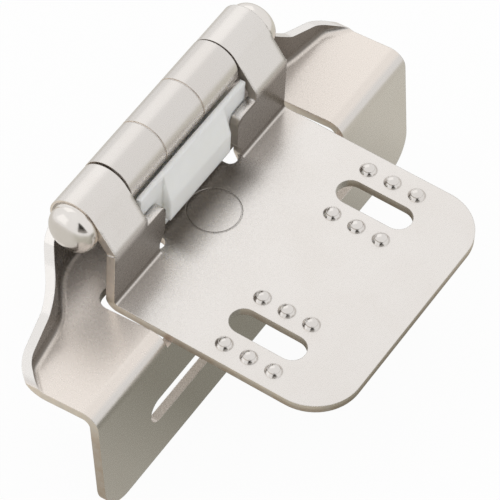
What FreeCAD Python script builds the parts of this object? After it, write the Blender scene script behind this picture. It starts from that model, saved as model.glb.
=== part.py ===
import FreeCAD, Part
import math
import os
import Sketcher

# Self-closing partial wrap cabinet hinge, in millimetres.
# The origin is midway between the two flange screw slots, on the flange face that meets the wood.
# +X points from the frame towards the door, Y runs along the hinge pin, +Z points out of the cabinet.

doc = FreeCAD.newDocument("door_hinge")
sheet = doc.addObject("Spreadsheet::Sheet", "Sizes")

driving_sizes = {
    # stock shared by both leaves
    "sheet_thickness": 1.25,
    # frame leaf: flange, ears and window
    "leaf_length": 70.0,
    "ear_top": 11.1,
    "flange_drop": 8.1,
    "flange_bend": 2.3,
    "flange_corner": 4.5,
    "screw_spacing": 34.0,
    "screw_slot_length": 15.2,
    "screw_slot_width": 3.8,
    "window_width": 40.2,
    "window_back": 9.6,
    "window_corner": 2.0,
    "notch_drop": 1.95,
    # frame leaf: ogee lip, with its bends measured in from the leaf's ends
    "wall_back": 17.35,
    "wall_height": 8.0,
    "wall_bend": 2.15,
    "ogee_inner_inset": 16.36,
    "ogee_outer_inset": 9.58,
    "ogee_outer_x": 12.42,
    "shoulder_inset": 1.8,
    "shoulder_x": 11.23,
    "tip_x": 9.4,
    "ogee_inner_round": 10.25,
    "ogee_outer_round": 7.75,
    "shoulder_round": 4.0,
    "tip_rise": 0.3,
    "lip_end_inset": 3.5,
    "lip_end_rise": 2.2,
    "lip_low_inset": 7.8,
    "lip_low_rise": 3.7,
    "lip_high_inset": 12.5,
    "lip_high_rise": 7.4,
    "lip_top_inset": 14.5,
    "lip_round": 2.5,
    # barrel
    "axis_back": 12.13,
    "axis_rise": 12.31,
    "barrel_length": 38.0,
    "middle_length": 23.6,
    "knuckle_gap": 0.3,
    "knuckle_radius": 3.54,
    "cam_radius": 3.5,
    "cam_offset": 0.18,
    "score_spacing": 8.3,
    "score_width": 0.25,
    "score_depth": 0.15,
    "seam_width": 0.4,
    "tongue_lean": 10.0,
    "tongue_length": 10.3,
    "tongue_root": 4.5,
    # pin
    "pin_radius": 2.25,
    "pin_clearance": 0.05,
    "head_radius": 3.5,
    "head_rim": 1.4,
    "head_crown": 1.5,
    "head_chamfer": 0.3,
    # door leaf
    "over_close": 5.27,
    "plate_width": 38.3,
    "plate_length": 31.44,
    "plate_drop": 11.6,
    "plate_corner": 6.5,
    "upright_offset": 6.1,
    "upright_bend": 0.5,
    "arm_lean": 36.2,
    "tab_drop": 1.15,
    "tab_half_gap": 8.1,
    "tab_round": 1.2,
    "cut_play": 0.05,
    "foot_half_gap": 9.2,
    "foot_low": 1.4,
    "foot_high": 3.2,
    "ledge_reach": 2.15,
    "relief_spread": 8.25,
    "relief_width": 2.1,
    "door_slot_reach": 18.0,
    "door_slot_spacing": 24.5,
    "door_slot_length": 10.8,
    "door_slot_width": 3.9,
    "dimple_row": 4.26,
    "dimple_pitch": 3.58,
    "dimple_radius": 1.15,
    "dimple_rise": 0.5,
    "dimple_taper": 38.7,
    "coin_reach": 2.0,
    "coin_radius": 3.6,
    "coin_width": 0.2,
    "coin_depth": 0.1,
    # nylon housing, follower and springs
    "housing_half_length": 11.6,
    "housing_back": 2.3,
    "housing_floor": 10.75,
    "housing_top": 4.0,
    "housing_foot_half_length": 7.7,
    "wing_bottom": 8.0,
    "housing_play": 0.15,
    "wing_inner": 3.95,
    "wing_top": 0.3,
    "nose_half_length": 6.7,
    "nose_recess": 0.15,
    "nose_bottom": 8.2,
    "nose_break": 4.6,
    "nose_crown": 1.5,
    "nose_crown_x": 5.0,
    "nose_round": 2.5,
    "well_half_width": 1.6,
    "well_half_length": 6.9,
    "well_floor": 10.3,
    "follower_play": 0.1,
    "cam_gap": 0.06,
    "follower_height": 2.8,
    "follower_round": 0.6,
    "seat_radius": 0.8,
    "seat_length": 1.2,
    "spring_spacing": 10.0,
    "spring_radius": 1.2,
    "spring_wire": 0.25,
    "spring_turns": 2.5,
}
for row, (alias, number) in enumerate(driving_sizes.items(), start=1):
    sheet.set("A%d" % row, alias)
    sheet.set("B%d" % row, str(number))
    sheet.setAlias("B%d" % row, alias)
doc.recompute()


class Size:
    # a length or angle, as a number and as the formula on the sheet's cells that gives it
    def __init__(self, number, text):
        self.number = number
        self.text = text

    def joined(self, other, sign, number):
        text = other.text if isinstance(other, Size) else repr(float(other))
        return Size(number, "(%s %s %s)" % (self.text, sign, text))

    def __add__(self, other):
        return self.joined(other, "+", self.number + as_number(other))

    def __sub__(self, other):
        return self.joined(other, "-", self.number - as_number(other))

    def __mul__(self, other):
        return self.joined(other, "*", self.number * as_number(other))

    def __truediv__(self, other):
        return self.joined(other, "/", self.number / as_number(other))

    def __neg__(self):
        return self * -1


def as_number(value):
    return value.number if isinstance(value, Size) else float(value)


def cell(alias):
    return Size(float(sheet.get(alias)), "Sizes." + alias)


def sine(angle):
    return Size(math.sin(math.radians(angle.number)), "sin(%s)" % angle.text)


def cosine(angle):
    return Size(math.cos(math.radians(angle.number)), "cos(%s)" % angle.text)


def bind(item, name, size):
    item.setExpression(name, size.text)


nought = Size(0.0, "0")
thickness = cell("sheet_thickness")
ear_top = cell("ear_top")
ear_under = ear_top - thickness
flange_bottom = -cell("flange_drop")
axis_x = -cell("axis_back")
axis_z = ear_top + cell("axis_rise")
middle_length = cell("middle_length")
pin_radius = cell("pin_radius")
knuckle_radius = cell("knuckle_radius")
clear_cut = thickness * 4


def new_body(label):
    body = doc.addObject("PartDesign::Body", label)
    body.Label = label
    return body


def new_sketch(body, role, height=None):
    sketch = body.newObject("Sketcher::SketchObject", body.Label + "_sketch")
    plane = [item for item in body.Origin.OriginFeatures if item.Role == role][0]
    sketch.AttachmentSupport = [(plane, "")]
    sketch.MapMode = "FlatFace"
    if height is not None:
        bind(sketch, "AttachmentOffset.Base.z", height)
    return sketch


def place_point(sketch, edge, end, x, y):
    for kind, size in (("DistanceX", x), ("DistanceY", y)):
        index = sketch.addConstraint(Sketcher.Constraint(kind, -1, 1, edge, end, size.number))
        bind(sketch, "Constraints[%d]" % index, size)


def draw_polygon(sketch, corners):
    points = [FreeCAD.Vector(x.number, y.number, 0) for x, y in corners]
    first = sketch.GeometryCount
    count = len(points)
    for i in range(count):
        sketch.addGeometry(Part.LineSegment(points[i], points[(i + 1) % count]), False)
    for i in range(count):
        sketch.addConstraint(Sketcher.Constraint("Coincident", first + i, 2, first + (i + 1) % count, 1))
    for i, (x, y) in enumerate(corners):
        place_point(sketch, first + i, 1, x, y)


def draw_rectangle(sketch, half_width, half_length):
    draw_polygon(sketch, [
        (-half_width, -half_length), (half_width, -half_length),
        (half_width, half_length), (-half_width, half_length)])


def draw_circle(sketch, x, y, radius):
    centre = FreeCAD.Vector(x.number, y.number, 0)
    edge = sketch.addGeometry(Part.Circle(centre, FreeCAD.Vector(0, 0, 1), radius.number), False)
    place_point(sketch, edge, 3, x, y)
    index = sketch.addConstraint(Sketcher.Constraint("Radius", edge, radius.number))
    bind(sketch, "Constraints[%d]" % index, radius)


def draw_slot(sketch, x, y, length, width):
    # a slot along the sketch's first axis, with round ends
    radius = width / 2
    reach = (length - width) / 2
    ends = (x - reach, x + reach)
    up = FreeCAD.Vector(0, radius.number, 0)
    centres = [FreeCAD.Vector(end.number, y.number, 0) for end in ends]
    axis = FreeCAD.Vector(0, 0, 1)
    left_arc = sketch.addGeometry(
        Part.ArcOfCircle(Part.Circle(centres[0], axis, radius.number), math.pi / 2, 3 * math.pi / 2), False)
    right_arc = sketch.addGeometry(
        Part.ArcOfCircle(Part.Circle(centres[1], axis, radius.number), -math.pi / 2, math.pi / 2), False)
    lower = sketch.addGeometry(Part.LineSegment(centres[0] - up, centres[1] - up), False)
    upper = sketch.addGeometry(Part.LineSegment(centres[1] + up, centres[0] + up), False)
    for arc, arc_end, line, line_end in (
            (left_arc, 2, lower, 1), (lower, 2, right_arc, 1),
            (right_arc, 2, upper, 1), (upper, 2, left_arc, 1)):
        sketch.addConstraint(Sketcher.Constraint("Tangent", arc, arc_end, line, line_end))
    sketch.addConstraint(Sketcher.Constraint("Equal", left_arc, right_arc))
    place_point(sketch, left_arc, 3, ends[0], y)
    place_point(sketch, right_arc, 3, ends[1], y)
    index = sketch.addConstraint(Sketcher.Constraint("Radius", left_arc, radius.number))
    bind(sketch, "Constraints[%d]" % index, radius)


def extrude(body, kind, sketch, length, symmetric=False):
    feature = body.newObject("PartDesign::" + kind, body.Label + "_" + kind.lower())
    feature.Profile = sketch
    if symmetric:
        feature.SideType = "Symmetric"
    bind(feature, "Length", length)
    doc.recompute()
    return feature


def round_edges(body, radius, wanted):
    base = body.Tip
    names = ["Edge%d" % (i + 1) for i, edge in enumerate(base.Shape.Edges) if wanted(edge)]
    feature = body.newObject("PartDesign::Fillet", body.Label + "_fillet")
    feature.Base = (base, names)
    bind(feature, "Radius", radius)
    doc.recompute()


def near(value, size, slack=0.02):
    return abs(value - as_number(size)) < slack


def middle_of(edge):
    return edge.valueAt((edge.FirstParameter + edge.LastParameter) / 2)


def runs_along(edge, axis):
    if not isinstance(edge.Curve, Part.Line):
        return False
    return abs(edge.Curve.Direction.dot(axis)) > 0.999


along_x = FreeCAD.Vector(1, 0, 0)
along_y = FreeCAD.Vector(0, 1, 0)
along_z = FreeCAD.Vector(0, 0, 1)


def hang_on_pin(item):
    # pieces of the door half are drawn about the pin axis, then swung to the closed pose
    item.Placement = FreeCAD.Placement(FreeCAD.Vector(0, 0, 0), FreeCAD.Rotation(along_y, 1))
    bind(item, "Placement.Base.x", axis_x)
    bind(item, "Placement.Base.z", axis_z)
    bind(item, "Placement.Rotation.Angle", cell("over_close"))


def cut_seam(body, start, along, across):
    # a slit beside the sheet's inner face, from the bore out through the roll
    reach = cell("cam_radius")
    width = cell("seam_width")
    end = (start[0] + along[0] * reach, start[1] + along[1] * reach)
    shift = (across[0] * width, across[1] * width)
    sketch = new_sketch(body, "XZ_Plane")
    draw_polygon(sketch, [
        start, end, (end[0] + shift[0], end[1] + shift[1]), (start[0] + shift[0], start[1] + shift[1])])
    extrude(body, "Pocket", sketch, cell("barrel_length") + 2, symmetric=True)


def build_frame_leaf():
    body = new_body("frame_leaf")
    half_length = cell("leaf_length") / 2
    wall_back = -cell("wall_back")
    tray_front = ear_under * -0.45
    plan = [
        (half_length - cell("ogee_inner_inset"), wall_back, "ogee_inner_round"),
        (half_length - cell("ogee_outer_inset"), -cell("ogee_outer_x"), "ogee_outer_round"),
        (half_length - cell("shoulder_inset"), -cell("shoulder_x"), "shoulder_round"),
        (half_length, -cell("tip_x"), None),
        (half_length, tray_front, None),
    ]

    # ears and back wall start as a tray with the ogee outline
    sketch = new_sketch(body, "XY_Plane", ear_under)
    far_side = [(x, y) for y, x, _ in plan]
    near_side = [(x, -y) for y, x, _ in reversed(plan)]
    draw_polygon(sketch, far_side + near_side)
    extrude(body, "Pad", sketch, thickness + cell("wall_height"))
    for y, x, radius in plan:
        if radius:
            round_edges(body, cell(radius), lambda edge: runs_along(edge, along_z)
                        and near(abs(middle_of(edge).y), y) and near(middle_of(edge).x, x))
    round_edges(body, cell("wall_bend"), lambda edge: near(middle_of(edge).z, ear_under)
                and not near(abs(middle_of(edge).y), half_length) and not near(middle_of(edge).x, tray_front))
    solid = body.Tip
    open_faces = []
    for i, face in enumerate(solid.Shape.Faces):
        centre = face.CenterOfMass
        is_top = near(centre.z, ear_top + cell("wall_height"))
        is_end = near(abs(centre.y), half_length)
        is_front = near(centre.x, tray_front)
        if is_top or is_end or is_front:
            open_faces.append("Face%d" % (i + 1))
    shell = body.newObject("PartDesign::Thickness", "frame_leaf_shell")
    shell.Base = (solid, open_faces)
    shell.Reversed = True
    shell.Join = "Intersection"
    bind(shell, "Value", thickness)
    doc.recompute()

    # the lip falls away in an S towards the ears' ends
    ceiling = ear_top + cell("wall_height") + 1
    lip = [
        (half_length + 1, ceiling),
        (half_length + 1, ear_top + cell("tip_rise")),
        (half_length, ear_top + cell("tip_rise")),
        (half_length - cell("lip_end_inset"), ear_top + cell("lip_end_rise")),
        (half_length - cell("lip_low_inset"), ear_top + cell("lip_low_rise")),
        (half_length - cell("lip_high_inset"), ear_top + cell("lip_high_rise")),
        (half_length - cell("lip_top_inset"), ear_top + cell("wall_height")),
        (half_length - cell("lip_top_inset"), ceiling),
    ]
    for side in (1, -1):
        sketch = new_sketch(body, "YZ_Plane")
        draw_polygon(sketch, [(y * side, z) for y, z in lip])
        extrude(body, "Pocket", sketch, cell("leaf_length"), symmetric=True)
    lip_corners = [lip[3], lip[4], lip[5]]
    round_edges(body, cell("lip_round"), lambda edge: any(
        near(abs(middle_of(edge).y), y) and near(middle_of(edge).z, z) for y, z in lip_corners))

    # flange, bent down from the ears
    sketch = new_sketch(body, "XZ_Plane")
    draw_polygon(sketch, [
        (tray_front, ear_top), (thickness, ear_top), (thickness, flange_bottom),
        (nought, flange_bottom), (nought, ear_under), (tray_front, ear_under)])
    extrude(body, "Pad", sketch, cell("leaf_length"), symmetric=True)
    round_edges(body, cell("flange_bend"), lambda edge: runs_along(edge, along_y)
                and near(middle_of(edge).x, thickness) and near(middle_of(edge).z, ear_top))
    round_edges(body, cell("flange_bend") - thickness, lambda edge: runs_along(edge, along_y)
                and near(middle_of(edge).x, 0) and near(middle_of(edge).z, ear_under))
    round_edges(body, cell("flange_corner"), lambda edge: runs_along(edge, along_x)
                and near(abs(middle_of(edge).y), half_length) and near(middle_of(edge).z, flange_bottom))

    # window between the ears, cut down into the flange for the door plate to dip
    headroom = thickness
    window_half = cell("window_width") / 2
    window_x = -cell("window_back")
    sketch = new_sketch(body, "XY_Plane", ear_top + headroom)
    draw_polygon(sketch, [
        (window_x, -window_half), (thickness * 2, -window_half),
        (thickness * 2, window_half), (window_x, window_half)])
    extrude(body, "Pocket", sketch, headroom + cell("notch_drop"))
    round_edges(body, cell("window_corner"), lambda edge: runs_along(edge, along_z)
                and near(abs(middle_of(edge).y), window_half) and near(middle_of(edge).x, window_x))

    # screw slots in the flange
    sketch = new_sketch(body, "YZ_Plane")
    for side in (1, -1):
        draw_slot(sketch, cell("screw_spacing") / 2 * side, nought,
                  cell("screw_slot_length"), cell("screw_slot_width"))
    extrude(body, "Pocket", sketch, clear_cut, symmetric=True)

    # tongue that leaves the wall and rolls into the middle knuckle
    root_z = ear_top + cell("tongue_root")
    sketch = new_sketch(body, "XZ_Plane")
    draw_polygon(sketch, [
        (wall_back - 1, root_z), (wall_back + thickness + 1, root_z),
        (wall_back + thickness + 1, ceiling), (wall_back - 1, ceiling)])
    extrude(body, "Pocket", sketch, middle_length, symmetric=True)
    lean = cell("tongue_lean")
    cam_z = axis_z + cell("cam_offset")
    outer_top = (axis_x - cell("cam_radius") * cosine(lean), cam_z + cell("cam_radius") * sine(lean))
    outer_foot = (outer_top[0] - cell("tongue_length") * sine(lean),
                  outer_top[1] - cell("tongue_length") * cosine(lean))
    inner_foot = (outer_foot[0] + thickness * cosine(lean), outer_foot[1] - thickness * sine(lean))
    inner_top = (outer_top[0] + thickness * cosine(lean), outer_top[1] - thickness * sine(lean))
    sketch = new_sketch(body, "XZ_Plane")
    draw_polygon(sketch, [outer_top, outer_foot, inner_foot, inner_top])
    extrude(body, "Pad", sketch, middle_length, symmetric=True)
    sketch = new_sketch(body, "XZ_Plane")
    draw_circle(sketch, axis_x, cam_z, cell("cam_radius"))
    extrude(body, "Pad", sketch, middle_length, symmetric=True)
    sketch = new_sketch(body, "XZ_Plane")
    draw_circle(sketch, axis_x, axis_z, pin_radius + cell("pin_clearance"))
    extrude(body, "Pocket", sketch, middle_length + 2, symmetric=True)

    # seam where the roll's free edge comes back to the tongue
    cut_seam(body, inner_top, (-sine(lean), -cosine(lean)), (cosine(lean), -sine(lean)))

    # two scored rings that divide the middle knuckle in thirds
    score_inner = cell("cam_radius") - cell("score_depth")
    for side in (1, -1):
        sketch = new_sketch(body, "XZ_Plane", cell("score_spacing") / 2 * side)
        draw_circle(sketch, axis_x, cam_z, score_inner)
        draw_circle(sketch, axis_x, cam_z, cell("cam_radius") + cell("score_depth") / 3)
        extrude(body, "Pocket", sketch, cell("score_width"), symmetric=True)
    return body


def build_door_leaf():
    body = new_body("door_leaf")
    face_x = cell("upright_offset")
    back_x = face_x - thickness
    plate_top = -cell("plate_drop")
    plate_under = plate_top - thickness
    free_x = face_x + cell("plate_length")
    lean = cell("arm_lean")
    bore_radius = knuckle_radius - thickness
    kink_z = (knuckle_radius - face_x * cosine(lean)) / sine(lean)
    inner_kink_z = (bore_radius - back_x * cosine(lean)) / sine(lean)

    # arms and end knuckles
    arm_inner = (bore_radius * cosine(lean), bore_radius * sine(lean))
    sketch = new_sketch(body, "XZ_Plane")
    draw_polygon(sketch, [
        (face_x, kink_z), (knuckle_radius * cosine(lean), knuckle_radius * sine(lean)),
        arm_inner, (back_x, inner_kink_z)])
    extrude(body, "Pad", sketch, cell("barrel_length"), symmetric=True)
    sketch = new_sketch(body, "XZ_Plane")
    draw_circle(sketch, nought, nought, knuckle_radius)
    extrude(body, "Pad", sketch, cell("barrel_length"), symmetric=True)
    sketch = new_sketch(body, "XZ_Plane")
    draw_circle(sketch, nought, nought, pin_radius)
    extrude(body, "Pocket", sketch, cell("barrel_length") + 2, symmetric=True)

    # upright wall and plate
    sketch = new_sketch(body, "XZ_Plane")
    draw_polygon(sketch, [
        (face_x, kink_z), (face_x, plate_top), (free_x, plate_top),
        (free_x, plate_under), (back_x, plate_under), (back_x, inner_kink_z)])
    extrude(body, "Pad", sketch, cell("plate_width"), symmetric=True)
    round_edges(body, cell("upright_bend"), lambda edge: runs_along(edge, along_y)
                and near(middle_of(edge).x, face_x) and near(middle_of(edge).z, plate_top))
    round_edges(body, cell("upright_bend") + thickness, lambda edge: runs_along(edge, along_y)
                and near(middle_of(edge).x, back_x) and near(middle_of(edge).z, plate_under))
    round_edges(body, cell("plate_corner"), lambda edge: runs_along(edge, along_z)
                and near(middle_of(edge).x, free_x))

    # ledge of the plate that runs in below the housing
    ledge_x = face_x - cell("ledge_reach")
    ledge_root = face_x + thickness
    sketch = new_sketch(body, "XZ_Plane")
    draw_polygon(sketch, [
        (ledge_x, plate_under), (ledge_root, plate_under), (ledge_root, plate_top), (ledge_x, plate_top)])
    extrude(body, "Pad", sketch, cell("relief_spread") * 2, symmetric=True)

    # room for the middle knuckle, leaving the tabs of the wall below it
    tab_top = kink_z - cell("tab_drop")
    cut_x = back_x - cell("cut_play")
    reach = knuckle_radius * 2
    sketch = new_sketch(body, "XZ_Plane")
    draw_polygon(sketch, [
        (-reach, -reach), (cut_x, -reach), (cut_x, tab_top),
        (reach, tab_top), (reach, reach), (-reach, reach)])
    extrude(body, "Pocket", sketch, middle_length + cell("knuckle_gap") * 2, symmetric=True)

    # window for the housing, wider at its foot, down to the plate's upper face
    foot_low = plate_top + cell("foot_low")
    foot_high = plate_top + cell("foot_high")
    window = [
        (cell("tab_half_gap"), tab_top + 1), (cell("tab_half_gap"), foot_high),
        (cell("foot_half_gap"), foot_low), (cell("foot_half_gap"), plate_top)]
    sketch = new_sketch(body, "YZ_Plane", ledge_root)
    draw_polygon(sketch, window + [(-y, z) for y, z in reversed(window)])
    extrude(body, "Pocket", sketch, thickness * 3)
    round_edges(body, cell("tab_round"), lambda edge: runs_along(edge, along_x)
                and near(abs(middle_of(edge).y), cell("tab_half_gap")) and near(middle_of(edge).z, tab_top))

    # round relief at each end of the ledge, through the bend
    sketch = new_sketch(body, "XY_Plane", foot_low)
    for side in (1, -1):
        draw_slot(sketch, face_x - clear_cut / 2, cell("relief_spread") * side,
                  clear_cut, cell("relief_width"))
    extrude(body, "Pocket", sketch, clear_cut)

    # seam where each roll's free edge comes back to its arm
    cut_seam(body, arm_inner, (sine(lean), -cosine(lean)), (-cosine(lean), -sine(lean)))

    # screw slots in the plate
    slot_x = face_x + cell("door_slot_reach")
    sketch = new_sketch(body, "XY_Plane", plate_top + thickness)
    for side in (1, -1):
        draw_slot(sketch, slot_x, cell("door_slot_spacing") / 2 * side,
                  cell("door_slot_length"), cell("door_slot_width"))
    extrude(body, "Pocket", sketch, clear_cut)

    # three raised dimples on each side of each slot
    sketch = new_sketch(body, "XY_Plane", plate_top)
    for side in (1, -1):
        for row in (1, -1):
            for step in (-1, 0, 1):
                draw_circle(sketch, slot_x + cell("dimple_pitch") * step,
                            cell("door_slot_spacing") / 2 * side + cell("dimple_row") * row,
                            cell("dimple_radius"))
    dimples = extrude(body, "Pad", sketch, cell("dimple_rise"))
    bind(dimples, "TaperAngle", -cell("dimple_taper"))
    doc.recompute()

    # coined ring in the plate, in front of the window
    coin_x = face_x + cell("coin_reach")
    sketch = new_sketch(body, "XY_Plane", plate_top)
    draw_circle(sketch, coin_x, nought, cell("coin_radius"))
    draw_circle(sketch, coin_x, nought, cell("coin_radius") - cell("coin_width"))
    extrude(body, "Pocket", sketch, cell("coin_depth"))
    hang_on_pin(body)
    return body


def build_pin():
    body = new_body("hinge_pin")
    head = cell("head_radius")
    crown = cell("head_crown")
    chamfer = cell("head_chamfer")
    shoulder = cell("barrel_length") / 2
    rim = shoulder + cell("head_rim")
    tip = rim + crown
    crown_radius = (head * head + crown * crown) / (crown * 2)
    crown_centre = tip - crown_radius

    # half profile from one crown's tip to the other's, turned about the pin axis
    side = [
        (head, -rim), (head, -shoulder - chamfer), (head - chamfer, -shoulder), (pin_radius, -shoulder),
        (pin_radius, shoulder), (head - chamfer, shoulder), (head, shoulder + chamfer), (head, rim)]
    points = [FreeCAD.Vector(x.number, y.number, 0) for x, y in side]
    rim_angle = math.atan2(rim.number - crown_centre.number, head.number)
    arcs = [(-crown_centre, -math.pi / 2, -rim_angle), (crown_centre, rim_angle, math.pi / 2)]
    sketch = new_sketch(body, "XY_Plane")
    crowns = []
    for centre, start, end in arcs:
        circle = Part.Circle(FreeCAD.Vector(0, centre.number, 0), along_z, crown_radius.number)
        crowns.append(sketch.addGeometry(Part.ArcOfCircle(circle, start, end), False))
    first_crown, last_crown = crowns
    lines = [
        sketch.addGeometry(Part.LineSegment(points[i], points[i + 1]), False)
        for i in range(len(points) - 1)]
    axis_line = sketch.addGeometry(
        Part.LineSegment(FreeCAD.Vector(0, tip.number, 0), FreeCAD.Vector(0, -tip.number, 0)), False)
    loop = [first_crown] + lines + [last_crown, axis_line]
    for i, edge in enumerate(loop):
        sketch.addConstraint(Sketcher.Constraint("Coincident", edge, 2, loop[(i + 1) % len(loop)], 1))
    for line, (x, y) in zip(lines, side):
        place_point(sketch, line, 1, x, y)
    place_point(sketch, last_crown, 1, *side[-1])
    place_point(sketch, axis_line, 1, nought, tip)
    place_point(sketch, axis_line, 2, nought, -tip)
    for edge in crowns:
        index = sketch.addConstraint(Sketcher.Constraint("Radius", edge, crown_radius.number))
        bind(sketch, "Constraints[%d]" % index, crown_radius)
    turned = body.newObject("PartDesign::Revolution", "hinge_pin_turned")
    turned.Profile = sketch
    turned.ReferenceAxis = (sketch, ["V_Axis"])
    turned.Angle = 360
    doc.recompute()
    hang_on_pin(body)
    return body


def build_housing():
    body = new_body("spring_housing")
    wall_x = cell("upright_offset") - thickness - cell("housing_play")
    front_x = cell("upright_offset") - cell("nose_recess")
    back_x = -cell("housing_back")
    floor_z = -cell("housing_floor")
    top_z = -cell("housing_top")
    wing_top = -cell("wing_top")
    sketch = new_sketch(body, "XZ_Plane")
    draw_polygon(sketch, [
        (back_x, floor_z), (wall_x, floor_z), (wall_x, wing_top),
        (cell("wing_inner"), wing_top), (cell("wing_inner"), top_z), (back_x, top_z)])
    extrude(body, "Pad", sketch, cell("housing_half_length") * 2, symmetric=True)

    # the wings end above the plate, so only the middle of the housing reaches its floor
    foot_half = cell("housing_foot_half_length")
    wing_end = cell("housing_half_length") + 1
    wing_bottom = -cell("wing_bottom")
    sketch = new_sketch(body, "YZ_Plane")
    for side in (1, -1):
        draw_polygon(sketch, [
            (foot_half * side, floor_z - 1), (wing_end * side, floor_z - 1),
            (wing_end * side, wing_bottom), (foot_half * side, wing_bottom)])
    extrude(body, "Pocket", sketch, cell("housing_floor") * 2, symmetric=True)

    # nose that fills the window of the door leaf's wall
    sketch = new_sketch(body, "XZ_Plane")
    draw_polygon(sketch, [
        (cell("wing_inner"), -cell("nose_bottom")), (front_x, -cell("nose_bottom")),
        (front_x, -cell("nose_break")), (cell("nose_crown_x"), -cell("nose_crown")),
        (wall_x, wing_top), (cell("wing_inner"), wing_top)])
    extrude(body, "Pad", sketch, cell("nose_half_length") * 2, symmetric=True)
    round_edges(body, cell("nose_round"), lambda edge: runs_along(edge, along_y)
                and near(middle_of(edge).x, front_x) and near(middle_of(edge).z, -cell("nose_break")))

    # well for the follower and its springs
    sketch = new_sketch(body, "XY_Plane", top_z)
    draw_rectangle(sketch, cell("well_half_width"), cell("well_half_length"))
    extrude(body, "Pocket", sketch, cell("well_floor") - cell("housing_top"))
    hang_on_pin(body)
    return body


follower_top = -(cell("cam_radius") - cell("cam_offset") + cell("cam_gap"))
follower_under = follower_top - cell("follower_height")


def build_follower():
    body = new_body("cam_follower")
    half_width = cell("well_half_width") - cell("follower_play")
    half_length = cell("well_half_length") - cell("follower_play")
    sketch = new_sketch(body, "XY_Plane", follower_under)
    draw_rectangle(sketch, half_width, half_length)
    extrude(body, "Pad", sketch, cell("follower_height"))
    round_edges(body, cell("follower_round"), lambda edge: runs_along(edge, along_y)
                and near(middle_of(edge).z, follower_top))

    # pegs that centre the springs
    sketch = new_sketch(body, "XY_Plane", follower_under)
    for side in (1, -1):
        draw_circle(sketch, nought, cell("spring_spacing") / 2 * side, cell("seat_radius"))
    pegs = extrude(body, "Pad", sketch, cell("seat_length"))
    pegs.Reversed = True
    doc.recompute()
    hang_on_pin(body)
    return body


wire_sides = 5


def build_spring(label, side):
    wire = cell("spring_wire")
    bottom = -cell("well_floor") + wire
    rise = follower_under - wire - bottom
    helix = doc.addObject("Part::Helix", label + "_path")
    bind(helix, "Radius", cell("spring_radius"))
    bind(helix, "Pitch", rise / cell("spring_turns"))
    bind(helix, "Height", rise)
    bind(helix, "Placement.Base.y", cell("spring_spacing") / 2 * side)
    bind(helix, "Placement.Base.z", bottom)
    ring = doc.addObject("Part::RegularPolygon", label + "_wire")
    ring.Polygon = wire_sides
    ring.Placement.Rotation = FreeCAD.Rotation(along_x, 90)
    bind(ring, "Circumradius", wire)
    bind(ring, "Placement.Base.x", cell("spring_radius"))
    bind(ring, "Placement.Base.y", cell("spring_spacing") / 2 * side)
    bind(ring, "Placement.Base.z", bottom)
    doc.recompute()
    spring = doc.addObject("Part::Sweep", label)
    spring.Label = label
    spring.Sections = [ring]
    spring.Spine = (helix, ["Edge%d" % (i + 1) for i in range(len(helix.Shape.Edges))])
    spring.Frenet = True
    spring.Solid = True
    doc.recompute()
    hang_on_pin(spring)
    return spring


pieces = [
    build_frame_leaf(),
    build_door_leaf(),
    build_pin(),
    build_housing(),
    build_follower(),
    build_spring("follower_spring_left", -1),
    build_spring("follower_spring_right", 1),
]
doc.recompute()

failed = [item.Name for item in doc.Objects if {"Invalid", "Error"} & set(item.State)]
failed += [item.Label for item in pieces if item.Shape.isNull() or not item.Shape.isValid()]
if failed:
    raise RuntimeError("not built: " + ", ".join(failed))
os.makedirs("parts", exist_ok=True)
for piece in pieces:
    piece.Shape.exportStep("parts/%s.step" % piece.Label)
    print("%s: %d solid(s), %.1f mm3" % (piece.Label, len(piece.Shape.Solids), piece.Shape.Volume))
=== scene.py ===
import math
import bmesh
import bpy
import numpy as np
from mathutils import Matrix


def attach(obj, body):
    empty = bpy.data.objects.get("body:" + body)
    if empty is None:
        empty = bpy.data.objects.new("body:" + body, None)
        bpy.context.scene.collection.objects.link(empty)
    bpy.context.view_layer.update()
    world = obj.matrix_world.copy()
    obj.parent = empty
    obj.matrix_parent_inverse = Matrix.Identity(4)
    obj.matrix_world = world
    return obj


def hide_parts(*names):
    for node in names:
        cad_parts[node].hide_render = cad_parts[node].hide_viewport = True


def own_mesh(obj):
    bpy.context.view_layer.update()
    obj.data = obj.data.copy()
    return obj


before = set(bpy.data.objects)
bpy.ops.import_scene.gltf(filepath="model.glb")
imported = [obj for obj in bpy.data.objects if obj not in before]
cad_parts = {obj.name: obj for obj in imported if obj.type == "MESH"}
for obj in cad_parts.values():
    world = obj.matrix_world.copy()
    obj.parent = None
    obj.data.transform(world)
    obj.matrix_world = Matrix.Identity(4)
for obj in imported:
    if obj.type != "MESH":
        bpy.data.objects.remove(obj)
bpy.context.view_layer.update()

mm = 0.001
weld = 1e-7  # points closer than this are one point
print("frame loaded:", ", ".join(sorted(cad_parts)))

# places that several pieces share, in metres
hinge = {
    "pinX": -12.13 * mm,
    "pinZ": 23.41 * mm,
    "doorTurn": math.radians(5.27),  # the door leaf rests this far past level
}


class Wire:
    # one socket of a node tree; sums and products of wires add Math nodes
    def __init__(self, board, socket):
        self.board = board
        self.socket = socket

    def maths(self, operation, first, second):
        return self.board.node("ShaderNodeMath", {"operation": operation}, {0: first, 1: second})

    def __add__(self, other):
        return self.maths("ADD", self, other)

    __radd__ = __add__

    def __mul__(self, other):
        return self.maths("MULTIPLY", self, other)

    __rmul__ = __mul__

    def __sub__(self, other):
        return self.maths("SUBTRACT", self, other)

    def __rsub__(self, other):
        return self.maths("SUBTRACT", other, self)

    def __abs__(self):
        return self.maths("ABSOLUTE", self, 0.0)

    def most(self, other):
        return self.maths("MAXIMUM", self, other)

    def ease(self, low, high):
        # 0 below low, 1 above high, smooth between
        return self.board.node("ShaderNodeMapRange", {"interpolation_type": "SMOOTHSTEP"},
                               {"Value": self, "From Min": low, "From Max": high})


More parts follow.
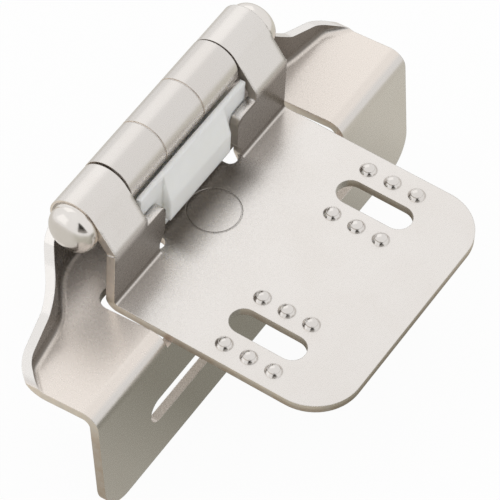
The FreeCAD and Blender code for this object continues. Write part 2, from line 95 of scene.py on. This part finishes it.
class Board:
    # the node tree of one finish
    def __init__(self, name):
        self.material = bpy.data.materials.new(name)
        self.material.use_nodes = True
        self.tree = self.material.node_tree
        self.tree.nodes.clear()

    def node(self, kind, settings=None, sockets=None, out=0):
        made = self.tree.nodes.new(kind)
        for name, value in (settings or {}).items():
            if name == "stops":
                self.setStops(made.color_ramp, value)
            else:
                setattr(made, name, value)
        for name, value in (sockets or {}).items():
            if isinstance(value, Wire):
                self.tree.links.new(value.socket, made.inputs[name])
            else:
                made.inputs[name].default_value = value
        return Wire(self, made.outputs[out]) if made.outputs else None

    def setStops(self, ramp, stops):
        while len(ramp.elements) < len(stops):
            ramp.elements.new(1.0)
        for element, (place, shade) in zip(ramp.elements, stops):
            element.position = place
            element.color = (shade, shade, shade, 1.0)

    def blend(self, factor, first, second):
        # Mix of two colours; sockets 0, 6 and 7 are its factor and colour ones
        return self.node("ShaderNodeMix", {"data_type": "RGBA"},
                         {0: factor, 6: first, 7: second}, out=2)

    def split(self, vector):
        return [self.node("ShaderNodeSeparateXYZ", None, {0: vector}, out=axis) for axis in range(3)]

    def noise(self, place, scale, detail=2.0, rough=0.5):
        return self.node("ShaderNodeTexNoise", None,
                         {"Vector": place, "Scale": scale, "Detail": detail, "Roughness": rough})

    def place(self, moved=(0, 0, 0), turned=(0, 0, 0)):
        coords = self.node("ShaderNodeTexCoord", out=3)
        return self.node("ShaderNodeMapping", {"vector_type": "TEXTURE"},
                         {"Vector": coords, "Location": moved, "Rotation": turned})

    def facing(self, turn):
        # the surface normal in the leaf's own turned axes
        normal = self.node("ShaderNodeTexCoord", out=1)
        return self.node("ShaderNodeVectorRotate", {"rotation_type": "Y_AXIS"},
                         {"Vector": normal, "Angle": -turn})

    def surface(self, shader):
        self.node("ShaderNodeOutputMaterial", None, {"Surface": shader})
        return self.material


satin = {
    "nickel": (0.71, 0.68, 0.652, 1),
    "warm": (0.66, 0.615, 0.575, 1),
    "frameNickel": (0.672, 0.643, 0.616, 1),
    "cutLit": (0.86, 0.775, 0.68, 1),
    "cutShaded": (0.55, 0.455, 0.375, 1),
    # painted highlight on the lip's upper edge
    "lipHighlight": (0.80, 0.775, 0.75, 1),
    "paintedLight": (0.86, 0.785, 0.72, 1),  # matt plating whose pale colour is painted light, on the ears, under the barrel and on the plate beside the wall
    "paintedShade": (0.092, 0.070, 0.049, 1),  # painted shade laid into hollows, corners and the lip's inner face where shade falls
    "shadeReach": 7.0 * mm,
    "rough": 0.27,
    "pressedRough": 0.17,
    "roughSwing": 0.10,
    "cloudSwing": 0.04,
    "cutRough": 0.12,
    "cloudScale": 160.0,
    "speckScale": 1900.0,
    "grainScale": 5200.0,
    "streakScale": 900.0,
    "grain": 0.12,
    "grainDepth": 0.06 * mm,
    # strengths of painted shade: the lip, the wall, the nose's shadow on the plate, round the window
    "lipShade": 0.85,
    "wallShade": 0.86,
    "noseShadow": 0.85,
    "windowShade": 0.7,
    # strengths of painted light: ears, under the barrel, plate beside the wall
    "earLight": 0.9,
    "barrelLight": 0.55,
    "plateLight": 0.55,
    "edge": 0.15 * mm,
    "fold": 1.1 * mm,  # how far the fold of each arm into the wall is rounded
}


def satinNickel(name, base, turn, cutAndHighlightMask, shadingMask, shine):
    # satin plated steel: cloudy tone, fine pebbled grain, bare tan metal where the sheet was cut; the
    # masks lay painted shade, painted light and painted highlights over it
    board = Board(name)
    place = board.place(moved=(hinge["pinX"], 0, hinge["pinZ"]), turned=(0, turn, 0))
    cloud = board.noise(place, satin["cloudScale"], 3.0)
    speck = board.noise(place, satin["speckScale"])
    grain = board.noise(place, satin["grainScale"], 2.0, 0.6)
    streak = board.noise(place, satin["streakScale"], 3.0, 0.7)
    # ambient occlusion that darkens hollows and corners as painted shade
    openness = board.node("ShaderNodeAmbientOcclusion", {"samples": 12, "only_local": True},
                          {"Distance": satin["shadeReach"]}, out="AO")
    at, facing = board.split(place), board.split(board.facing(turn))
    cut, band = cutAndHighlightMask(at, facing)
    # the masks return painted shade, painted light, a painted highlight, and where the fold is rounded
    shadeMask, paintedLight, bright, fold = shadingMask(1 - openness.ease(0.3, 0.97), at, facing)
    warmth = cloud.ease(0.35, 0.75) * 0.25 + grain.ease(0.45, 0.75) * 0.15
    tone = board.blend(warmth, base, satin["warm"])
    # bare tan metal on cut edges, its upper band a painted highlight and its lower part painted shade
    cutLitShaded = board.blend(band, satin["cutShaded"], satin["cutLit"])
    tone = board.blend(cut * (0.5 + streak.ease(0.3, 0.7) * 0.5), tone, cutLitShaded)
    # painted light: a pale matt colour where the ears, the barrel's underside and the plate beside the
    # wall would reflect dark parts
    tone = board.blend(paintedLight, tone, satin["paintedLight"])
    # painted highlight on the lip's upper edge
    tone = board.blend(bright, tone, satin["lipHighlight"])
    # painted shade where the masks and the occlusion put it, with less metal there
    tone = board.blend(shadeMask, tone, satin["paintedShade"])
    metal = (1 - shadeMask * 0.6) * (1 - paintedLight * 0.7)
    rough = shine + (speck - 0.5) * satin["roughSwing"] + (cloud - 0.5) * satin["cloudSwing"]
    rough = rough + cut * satin["cutRough"]
    height = grain * 0.6 + speck * 0.4 + cut * streak * 1.5
    crisp = board.node("ShaderNodeBevel", {"samples": 6}, {"Radius": satin["edge"]})
    rolled = board.node("ShaderNodeBevel", {"samples": 8}, {"Radius": satin["fold"]})
    rounded = board.node("ShaderNodeMix", {"data_type": "VECTOR"},
                         {0: fold, 4: crisp, 5: rolled}, out=1)
    bump = board.node("ShaderNodeBump", None,
                      {"Strength": satin["grain"], "Distance": satin["grainDepth"], "Height": height,
                       "Normal": rounded})
    shader = board.node("ShaderNodeBsdfPrincipled", None,
                        {"Base Color": tone, "Metallic": metal, "Roughness": rough, "Normal": bump})
    return board.surface(shader)


# In the masks, places are measured from the pin axis, in the leaf's own axes.
def frameCutsAndHighlight(at, facing):
    # end edges of ears and flange; bare tan metal, lighter higher up as a painted highlight and darker
    # lower down as painted shade
    return abs(facing[1]).ease(0.55, 0.8), at[2].ease(-18.0 * mm, -12.5 * mm)


def doorCutsAndHighlight(at, facing):
    # side edges, and the plate's far edge; the upper part of the plate's edge is brighter, a painted
    # highlight
    far = facing[0].ease(0.6, 0.85) * at[0].ease(31.0 * mm, 32.0 * mm)
    return abs(facing[1]).ease(0.55, 0.8).most(far), at[2].ease(-12.55 * mm, -11.75 * mm)


def noCuts(at, facing):
    return 0.0, 0.0


def frameShading(paintedShade, at, facing):
    # painted shade on the lip's inner face, painted light on the ears and under the barrel, a painted
    # highlight on the lip's upper edge
    lip = facing[0].ease(0.35, 0.75) * (1 - at[0].ease(4.0 * mm, 5.0 * mm))
    lip = lip * (1 - at[2].ease(-4.6 * mm, -4.0 * mm))
    ear = facing[2].ease(0.7, 0.9) * (1 - at[2].ease(-12.1 * mm, -11.8 * mm))
    barrel = at[0].ease(0.5 * mm, 1.5 * mm) * at[2].ease(-4.2 * mm, -3.8 * mm)
    barrel = barrel * (1 - facing[2].ease(-0.1, 0.25))
    # the lip's upper edge, where the painted highlight goes
    edge = facing[2].ease(0.5, 0.8) * at[2].ease(-11.9 * mm, -11.5 * mm)
    edge = edge * (1 - at[2].ease(-4.0 * mm, -3.6 * mm))
    paintedLight = (ear * satin["earLight"]).most(barrel * satin["barrelLight"])
    return lip * satin["lipShade"], paintedLight, edge, 0.0


def doorShading(paintedShade, at, facing):
    # painted shade in the outer corner of wall and plate and over the wall, weaker at the wall's top; a
    # painted shadow on the plate before the nose; painted shade round the window; painted light on the
    # plate beside the wall
    outer = at[0].ease(5.7 * mm, 6.0 * mm)
    wall = facing[0].ease(0.45, 0.75) * (1 - at[0].ease(6.6 * mm, 7.2 * mm))
    wall = wall * (1 - at[2].ease(-4.0 * mm, -2.2 * mm) * 0.75)
    top = facing[2].ease(0.8, 0.95)
    nose = top * (1 - at[0].ease(6.2 * mm, 11.8 * mm)) * (1 - abs(at[1]).ease(6.5 * mm, 9.5 * mm))
    plate = top * outer * (1 - at[0].ease(7.0 * mm, 11.0 * mm)) * abs(at[1]).ease(8.5 * mm, 10.5 * mm)
    fold = at[2].ease(-5.0 * mm, -4.2 * mm) * at[0].ease(3.4 * mm, 3.9 * mm)
    inside = abs(facing[1]).ease(0.55, 0.8) * (1 - abs(at[1]).ease(17.0 * mm, 18.0 * mm))
    inside = inside * at[2].ease(-11.4 * mm, -11.0 * mm)
    shadeMask = (paintedShade * outer * (1 - top * 0.72)).most(wall * outer * satin["wallShade"])
    shadeMask = shadeMask.most(nose * satin["noseShadow"]).most(inside * satin["windowShade"])
    return shadeMask, plate * satin["plateLight"], 0.0, fold * (1 - abs(facing[1]).ease(0.3, 0.6))


def noShading(paintedShade, at, facing):
    return 0.0, 0.0, 0.0, 0.0


polish = {
    "light": (0.79, 0.76, 0.73, 1),
    "dark": (0.70, 0.66, 0.62, 1),
    "smudgeScale": 420.0,
    "ringScale": 900.0,
    "ringWander": 0.6,
    "ring": 0.04,
    "ringDepth": 0.02 * mm,
    "rough": 0.14,
    "roughSwing": 0.08,
}


def brightNickel():
    # polished pin with faint turning rings and soft smudges
    board = Board("bright_nickel")
    place = board.place(moved=(hinge["pinX"], 0, hinge["pinZ"]))
    smudge = board.noise(place, polish["smudgeScale"], 3.0)
    rings = board.node("ShaderNodeTexWave", {"wave_type": "RINGS", "rings_direction": "Y"},
                       {"Vector": place, "Scale": polish["ringScale"],
                        "Distortion": polish["ringWander"]})
    tone = board.blend(smudge, polish["light"], polish["dark"])
    bump = board.node("ShaderNodeBump", None,
                      {"Strength": polish["ring"], "Distance": polish["ringDepth"], "Height": rings})
    rough = polish["rough"] + smudge * polish["roughSwing"]
    shader = board.node("ShaderNodeBsdfPrincipled", None,
                        {"Base Color": tone, "Metallic": 1.0, "Roughness": rough, "Normal": bump})
    return board.surface(shader)


moulded = {
    "light": (0.93, 0.935, 0.91, 1),
    "dark": (0.87, 0.875, 0.84, 1),
    "cloudScale": 350.0,
    "sparkScale": 6500.0,
    "spark": 0.12,
    "sparkDepth": 0.05 * mm,
    "edge": 0.45 * mm,
    "rough": 0.42,
    "roughSwing": 0.12,
    "milk": 0.6,  # share of light that spreads inside
    "milkTint": (1.0, 0.96, 0.86),
    "milkReach": 1.5 * mm,
}


def nylon():
    # moulded off-white plastic with a very fine spark finish
    board = Board("nylon")
    place = board.place()
    cloud = board.noise(place, moulded["cloudScale"], 3.0)
    spark = board.noise(place, moulded["sparkScale"], 1.0)
    tone = board.blend(cloud, moulded["light"], moulded["dark"])
    rounded = board.node("ShaderNodeBevel", {"samples": 8}, {"Radius": moulded["edge"]})
    bump = board.node("ShaderNodeBump", None,
                      {"Strength": moulded["spark"], "Distance": moulded["sparkDepth"],
                       "Height": spark, "Normal": rounded})
    rough = moulded["rough"] + spark * moulded["roughSwing"]
    shader = board.node("ShaderNodeBsdfPrincipled", None,
                        {"Base Color": tone, "Roughness": rough, "Normal": bump,
                         "Subsurface Weight": moulded["milk"],
                         "Subsurface Radius": moulded["milkTint"],
                         "Subsurface Scale": moulded["milkReach"]})
    return board.surface(shader)


drawn = {
    "dark": (0.46, 0.45, 0.44, 1),
    "light": (0.60, 0.59, 0.57, 1),
    "markScale": 2600.0,
    "rough": 0.22,
    "roughSwing": 0.16,
}


def springWire():
    # drawn wire: dark bright steel with cloudy draw marks
    board = Board("spring_steel")
    place = board.place()
    marks = board.noise(place, drawn["markScale"], 3.0)
    tone = board.blend(marks, drawn["dark"], drawn["light"])
    rough = drawn["rough"] + marks * drawn["roughSwing"]
    shader = board.node("ShaderNodeBsdfPrincipled", None,
                        {"Base Color": tone, "Metallic": 1.0, "Roughness": rough})
    return board.surface(shader)


def dress(node, material):
    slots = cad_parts[node].data.materials
    slots.clear()
    slots.append(material)


plastic = nylon()
wire = springWire()
dress("frame_leaf", satinNickel("satin_nickel_frame", satin["frameNickel"], 0.0,
                                frameCutsAndHighlight, frameShading, satin["rough"]))
dress("door_leaf", satinNickel("satin_nickel_door", satin["nickel"], hinge["doorTurn"],
                               doorCutsAndHighlight, doorShading, satin["rough"]))
pinFinish = brightNickel()
dress("hinge_pin", pinFinish)
dress("spring_housing", plastic)
dress("cam_follower", plastic)
dress("follower_spring_left", wire)
dress("follower_spring_right", wire)
print("finishes set")

dimples = {
    "slotX": 24.1 * mm,  # from the pin axis, along the plate
    "slotY": 12.25 * mm,
    "row": 4.26 * mm,
    "pitch": 3.58 * mm,
    "plateZ": -11.6 * mm,
    "radius": 1.14 * mm,
    "rise": 0.71 * mm,
    "rings": 12,
    "spokes": 36,
}


def addPiece(name, points, faces, material, body):
    mesh = bpy.data.meshes.new(name)
    mesh.from_pydata(points.tolist(), [], faces.tolist())
    mesh.polygons.foreach_set("use_smooth", np.ones(len(mesh.polygons), bool))
    mesh.materials.append(material)
    piece = bpy.data.objects.new(name, mesh)
    bpy.context.scene.collection.objects.link(piece)
    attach(piece, body)
    return piece


def fromDoor(points):
    # the door half's own axes, turned about the pin to where the leaf rests
    turn = hinge["doorTurn"]
    x = hinge["pinX"] + points[..., 0] * math.cos(turn) + points[..., 2] * math.sin(turn)
    z = hinge["pinZ"] - points[..., 0] * math.sin(turn) + points[..., 2] * math.cos(turn)
    return np.stack([x, points[..., 1], z], axis=-1)


def pressedDimples():
    # each dome is the cap of a ball: its height is the root of (the ball's radius squared less the
    # distance out squared), less the ball's radius, plus the rise
    ball = (dimples["radius"] ** 2 + dimples["rise"] ** 2) / (2.0 * dimples["rise"])
    out = np.linspace(0.0, dimples["radius"], dimples["rings"])
    angle = np.linspace(0.0, 2.0 * math.pi, dimples["spokes"], endpoint=False)
    u, v = np.meshgrid(out, angle, indexing="ij")
    dome = np.stack([u * np.cos(v), u * np.sin(v),
                     np.sqrt(ball ** 2 - u ** 2) - ball + dimples["rise"]], axis=-1)
    side, row, step = np.meshgrid([-1, 1], [-1, 1], [-1, 0, 1], indexing="ij")
    centre = np.stack([dimples["slotX"] + dimples["pitch"] * step,
                       dimples["slotY"] * side + dimples["row"] * row,
                       np.full(side.shape, dimples["plateZ"])], axis=-1).reshape(-1, 1, 1, 3)
    points = fromDoor(centre + dome).reshape(-1, 3)
    ring = np.arange(dimples["rings"] - 1)[:, None] * dimples["spokes"]
    spoke = np.arange(dimples["spokes"])[None, :]
    onward = (spoke + 1) % dimples["spokes"]
    cells = np.stack([ring + spoke, ring + dimples["spokes"] + spoke,
                      ring + dimples["spokes"] + onward, ring + onward], axis=-1).reshape(-1, 4)
    start = np.arange(len(centre))[:, None, None] * dimples["rings"] * dimples["spokes"]
    faces = (start + cells).reshape(-1, 4)
    finish = satinNickel("satin_nickel_pressed", satin["nickel"], hinge["doorTurn"], noCuts, noShading,
                         satin["pressedRough"])
    piece = addPiece("pressed_dimples", points, faces, finish, "door")
    tidyMesh(piece.data)


def tidyMesh(mesh):
    # one point where a surface closes, and faces outwards
    work = bmesh.new()
    work.from_mesh(mesh)
    bmesh.ops.remove_doubles(work, verts=work.verts, dist=weld)
    bmesh.ops.recalc_face_normals(work, faces=work.faces)
    work.to_mesh(mesh)
    work.free()


pressedDimples()
print("dimples pressed")

pin = {
    "shankRadius": 2.24 * mm,
    "headRadius": 3.35 * mm,
    "headShift": (0.30 * mm, -0.30 * mm),  # the heads are peened a little off centre
    "shoulder": 19.02 * mm,
    "rim": 0.55 * mm,
    "tip": 21.65 * mm,
    "domePower": 0.36,
    "softIn": (0.12 * mm, 0.03 * mm),  # rounding of the edge under each head
    "softUp": (0.0, 0.10 * mm),
    "shiftFrom": 0.05 * mm,
    "rings": 40,
    "spokes": 96,
}


def headedPin():
    # turned about the pin axis: shank, flat under-head, short rim, then a dome whose radius is
    # the head's times (one less the square of the share of the dome's height) to the dome's power
    share = np.sin(np.linspace(0.0, 0.5 * math.pi, pin["rings"]))
    foot = pin["shoulder"] + pin["rim"]
    domeY = foot + share * (pin["tip"] - foot)
    domeR = pin["headRadius"] * np.maximum(1.0 - share ** 2, 0.0) ** pin["domePower"]
    softR = pin["headRadius"] - np.array(pin["softIn"])
    softY = pin["shoulder"] + np.array(pin["softUp"])
    y = np.concatenate([[0.0, pin["shoulder"]], softY, domeY])
    r = np.concatenate([[pin["shankRadius"], pin["shankRadius"]], softR, domeR])
    y = np.concatenate([-y[:0:-1], y])
    r = np.concatenate([r[:0:-1], r])
    angle = np.linspace(0.0, 2.0 * math.pi, pin["spokes"], endpoint=False)
    u, v = np.meshgrid(np.arange(len(y)), angle, indexing="ij")
    shift = (np.abs(y) > pin["shoulder"] + pin["shiftFrom"]) * 1.0
    points = np.stack([hinge["pinX"] + pin["headShift"][0] * shift[u] + r[u] * np.sin(v), y[u],
                       hinge["pinZ"] + pin["headShift"][1] * shift[u] + r[u] * np.cos(v)], axis=-1)
    ring = np.arange(len(y) - 1)[:, None] * pin["spokes"]
    spoke = np.arange(pin["spokes"])[None, :]
    onward = (spoke + 1) % pin["spokes"]
    faces = np.stack([ring + spoke, ring + onward,
                      ring + pin["spokes"] + onward, ring + pin["spokes"] + spoke], axis=-1)
    piece = addPiece("headed_pin", points.reshape(-1, 3), faces.reshape(-1, 4), pinFinish,
                     "door")
    tidyMesh(piece.data)
    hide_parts("hinge_pin")


headedPin()
print("pin turned")

coil = {
    "radius": 1.2 * mm,
    "wire": 0.22 * mm,
    "turns": 4.5,
    "low": -10.06 * mm,  # ends of the wire's centre line, up the door half from the pin axis
    "high": -6.42 * mm,
    "spread": 5.0 * mm,
    "rings": 120,
    "sides": 10,
    "lift": 0.37 * mm,
}


def followerCoil(name, node, side):
    # a circle of the wire's radius, square to a helix of steady pitch, swept up it and closed at
    # both ends
    angle = np.linspace(0.0, 2.0 * math.pi * coil["turns"], coil["rings"])
    height = np.linspace(coil["low"], coil["high"], coil["rings"])
    climb = (coil["high"] - coil["low"]) / (2.0 * math.pi * coil["turns"] * coil["radius"])
    out = np.stack([np.cos(angle), np.sin(angle), 0.0 * angle], axis=-1)
    along = np.stack([-np.sin(angle), np.cos(angle), 0.0 * angle + climb], axis=-1)
    along = along / math.hypot(1.0, climb)
    across = np.cross(along, out)
    centre = coil["radius"] * out + np.stack([0.0 * angle, 0.0 * angle, height], axis=-1)
    turn = np.linspace(0.0, 2.0 * math.pi, coil["sides"], endpoint=False)[None, :, None]
    thick = np.full((coil["rings"], 1, 1), coil["wire"])
    thick[[0, -1]] = 0.0
    centre[0], centre[-1] = centre[1], centre[-2]
    points = centre[:, None] + thick * (out[:, None] * np.cos(turn) + across[:, None] * np.sin(turn))
    points[..., 1] = (points[..., 1] + coil["spread"]) * side
    ring = np.arange(coil["rings"] - 1)[:, None] * coil["sides"]
    spoke = np.arange(coil["sides"])[None, :]
    onward = (spoke + 1) % coil["sides"]
    faces = np.stack([ring + spoke, ring + onward,
                      ring + coil["sides"] + onward, ring + coil["sides"] + spoke], axis=-1)
    piece = addPiece(name, fromDoor(points).reshape(-1, 3), faces.reshape(-1, 4), wire,
                     "door")
    tidyMesh(piece.data)
    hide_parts(node)
    foot = fromDoor(np.array([0.0, coil["spread"] * side, coil["low"] - coil["wire"]]))
    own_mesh(piece)


followerCoil("coil_left", "follower_spring_left", -1)
followerCoil("coil_right", "follower_spring_right", 1)
print("coils wound")

studio = {
    "floorZ": -8.4 * mm,
    "floorHalf": 1.6,
    "floorTone": (0.90, 0.90, 0.90, 1),
    "floorWhite": 0.95,
    "fill": 0.85,
    "keyPower": 0.15,
    "keySize": 0.45,
    "keyPlace": (-0.32, 0.32, 0.42),
    "keyTarget": (0, 0, 0.01),
    "cardHalf": 0.3,
    "cardLift": 0.1 * mm,
    # the darkest tone and the dip in the stops are a painted shadow of the object on the table
    "cardShadow": (0.22, 0.215, 0.175, 1),
    "cardPale": (0.76, 0.74, 0.67, 1),
    "cardSpan": 0.12,
    "cardShadowStops": [(0.12, 0.66), (0.27, 0.44), (0.38, 0.14), (0.60, 0.16), (0.82, 0.92)],
    "cardBack": (0.74, 0.72, 0.68, 1),
    "cardBackFade": (0.0, -0.03),
    "cardRim": (0.97, 0.97, 0.97, 1),
    "cardRimFade": (0.06, 0.27),
    "slitTone": (0.03, 0.026, 0.022, 1),
    "slitLow": (0.30, 0.285, 0.265, 1),
    "slitFade": (0.09, 0.16),
    "slitAway": (0.719, -0.695),  # the level way from the hinge to the lens
    "slitFar": 0.4,
    "slitNear": 0.18,
    "slitHalf": 0.21,
    "slitFoot": 0.05,
    "slitTop": 0.28,
    "glow": 1.2,
    "glowCorners": [(-0.36, -0.16, 0.05), (-0.14, -0.36, 0.05),
                    (-0.11, -0.29, 0.30), (-0.29, -0.12, 0.30)],
}


def stageCard(name, corners, material):
    # a flat card that only mirrored rays see, as a studio flag does its work on metal
    mesh = bpy.data.meshes.new(name)
    mesh.from_pydata(corners, [], [tuple(range(len(corners)))])
    mesh.materials.append(material)
    card = bpy.data.objects.new(name, mesh)
    bpy.context.scene.collection.objects.link(card)
    card.visible_camera = False
    card.visible_diffuse = False
    card.visible_shadow = False
    card.visible_transmission = False


def underCard():
    # dark below the near end of the flange, paler towards its far end and behind it: a dark flag with
    # the object's shadow on the table painted in, darkest under its middle
    board = Board("flag_and_painted_shadow")
    across, along, _ = board.split(board.place())
    shade = board.node("ShaderNodeValToRGB", {"stops": studio["cardShadowStops"]},
                       {"Fac": along * (1.0 / studio["cardSpan"]) + 0.5})
    tone = board.blend(shade, studio["cardShadow"], studio["cardPale"])
    tone = board.blend(across.ease(*studio["cardBackFade"]), tone, studio["cardBack"])
    rim = abs(along).most(abs(across)).ease(*studio["cardRimFade"])
    tone = board.blend(rim, tone, studio["cardRim"])
    felt = board.node("ShaderNodeEmission", None, {"Color": tone, "Strength": 1.0})
    z = studio["floorZ"] + studio["cardLift"]
    half = studio["cardHalf"]
    stageCard("under_card", [(-half, -half, z), (half, -half, z), (half, half, z), (-half, half, z)],
              board.surface(felt))


def lensSlit():
    # the gap that a white tent leaves for the camera, grey near the table and dark higher up
    board = Board("slit_dark")
    height = board.split(board.place())[2]
    tone = board.blend(height.ease(*studio["slitFade"]), studio["slitLow"], studio["slitTone"])
    dark = board.node("ShaderNodeEmission", None, {"Color": tone, "Strength": 1.0})
    away = np.array(studio["slitAway"])
    side = np.array([-away[1], away[0]]) * studio["slitHalf"]
    left, right = away * studio["slitFar"] - side, away * studio["slitFar"] + side
    top = away * studio["slitNear"]
    stageCard("lens_slit", [(*left, studio["slitFoot"]), (*right, studio["slitFoot"]),
                            (*top, studio["slitTop"])], board.surface(dark))


def glowCard():
    # a bright panel low on the near left, for the white side of the domes
    board = Board("panel_white")
    glow = board.node("ShaderNodeEmission", None,
                      {"Color": (1, 1, 1, 1), "Strength": studio["glow"]})
    stageCard("glow_card", studio["glowCorners"], board.surface(glow))


def stageFloor():
    # a square grid of points, all at the floor's height
    side = np.linspace(-studio["floorHalf"], studio["floorHalf"], 3)
    x, y = np.meshgrid(side, side)
    points = np.stack([x, y, np.full_like(x, studio["floorZ"])], axis=-1).reshape(-1, 3)
    corner = np.array([0, 1, 3, 4])
    faces = np.stack([corner, corner + 1, corner + 4, corner + 3], axis=-1)
    mesh = bpy.data.meshes.new("floor")
    mesh.from_pydata(points.tolist(), [], faces.tolist())
    floor = bpy.data.objects.new("floor", mesh)
    bpy.context.scene.collection.objects.link(floor)
    board = Board("floor_paper")
    seen = lightSeen(board)
    paper = board.node("ShaderNodeBsdfDiffuse", None, {"Color": studio["floorTone"]})
    white = board.node("ShaderNodeEmission", None, {"Color": (1, 1, 1, 1), "Strength": 1.0})
    mix = board.node("ShaderNodeMixShader", None, {0: seen * studio["floorWhite"], 1: paper, 2: white})
    mesh.materials.append(board.surface(mix))


def lightSeen(board):
    # 1 for rays that look at the background, directly, in a mirror or through glass
    straight = board.node("ShaderNodeLightPath", out="Is Camera Ray")
    mirrored = board.node("ShaderNodeLightPath", out="Is Glossy Ray")
    through = board.node("ShaderNodeLightPath", out="Is Transmission Ray")
    return straight.most(mirrored).most(through)


class WorldBoard(Board):
    # the same tools on the world's tree
    def __init__(self):
        self.world = bpy.data.worlds.new("studio_air")
        self.world.use_nodes = True
        self.tree = self.world.node_tree
        self.tree.nodes.clear()


def studioAir():
    board = WorldBoard()
    seen = lightSeen(board)
    strength = studio["fill"] + seen * (1.0 - studio["fill"])
    air = board.node("ShaderNodeBackground", None, {"Color": (1, 1, 1, 1), "Strength": strength})
    board.node("ShaderNodeOutputWorld", None, {"Surface": air})
    bpy.context.scene.world = board.world


def lamp(name, power, size, place, target):
    data = bpy.data.lights.new(name, "AREA")
    data.energy = power
    data.size = size
    made = bpy.data.objects.new(name, data)
    made.location = place
    bpy.context.scene.collection.objects.link(made)
    aim = np.array(target) - np.array(place)
    flat = math.hypot(aim[0], aim[1])
    made.rotation_euler = (math.atan2(flat, -aim[2]), 0, math.atan2(aim[1], aim[0]) - math.pi / 2)


view = {
    "lens": 288.0,
    "sensor": 36.0,
    "clip": (0.01, 20.0),
    "place": (0.190778, -0.263026, 0.388034),
    "turn": (40.37074, 2.33579, 33.20837),
}


def photoCamera():
    data = bpy.data.cameras.new("photo_camera")
    data.lens = view["lens"]
    data.sensor_width = view["sensor"]
    data.clip_start, data.clip_end = view["clip"]
    made = bpy.data.objects.new("photo_camera", data)
    made.location = view["place"]
    made.rotation_euler = [math.radians(angle) for angle in view["turn"]]
    bpy.context.scene.collection.objects.link(made)
    bpy.context.scene.camera = made


stageFloor()
studioAir()
underCard()
lensSlit()
glowCard()
lamp("key", studio["keyPower"], studio["keySize"], studio["keyPlace"], studio["keyTarget"])
photoCamera()
bpy.context.scene.view_settings.view_transform = "Standard"
print("studio set")
